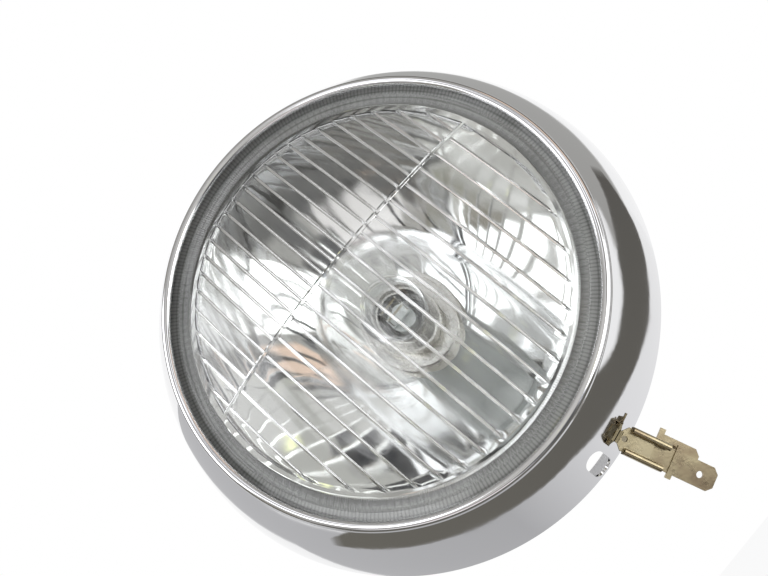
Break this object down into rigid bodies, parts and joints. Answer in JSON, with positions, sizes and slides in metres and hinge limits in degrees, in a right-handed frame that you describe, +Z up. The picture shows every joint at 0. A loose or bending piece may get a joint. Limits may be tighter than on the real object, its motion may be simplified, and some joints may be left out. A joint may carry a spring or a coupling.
{
  "type": "headlight insert",
  "caption": "Round headlight insert with chromed rim, fluted glass lens, aluminised reflector, twin-filament bulb in its holder and a spade adapter on an earth tab.",
  "frame": {"origin": "centre of the rim's rear edge, on the optical axis, where the rim seats on the lamp shell", "axes": "-Y towards the road ahead (out of the lens), +Z up, +X to the right when looking at the lens; the fixing slot of the rim is at the bottom"},
  "size_m": [0.143, 0.0745, 0.1645],
  "materials": {
    "rim_chrome": "polished",
    "zinc_steel": "zinc plated",
    "clear_glass": "clear moulded",
    "bulb_glass": "clear blown",
    "grey_rubber": "matte",
    "reflector_mirror": "vacuum aluminised",
    "spring_steel": "bright wire",
    "plated_brass": "nickel plated",
    "tungsten": "drawn wire",
    "black_glass": "glossy",
    "solder": "soft tin",
    "brown_phenolic": "moulded",
    "brass": "passivated"
  },
  "bodies": {
    "root": {"rim": "rim_chrome", "top_hook": "zinc_steel", "lens": "clear_glass", "lens_gasket": "grey_rubber", "reflector": "reflector_mirror", "spring_upper_right": "spring_steel", "spring_lower_right": "spring_steel", "spring_lower_left": "spring_steel", "spring_upper_left": "spring_steel", "bulb_collar": "zinc_steel", "bulb_glass": "bulb_glass", "bulb_stem": "bulb_glass", "lead_wires": "plated_brass", "main_filament": "tungsten", "dip_filament": "tungsten", "bulb_cap": "plated_brass", "cap_insulator": "black_glass", "cap_contacts": "solder", "holder_shell": "zinc_steel", "holder_insulator": "brown_phenolic", "main_contact": "brass", "dip_contact": "brass", "contact_rivets": "plated_brass", "earth_tab": "brass", "spade_adapter": "brass"}
  },
  "joints": []
}
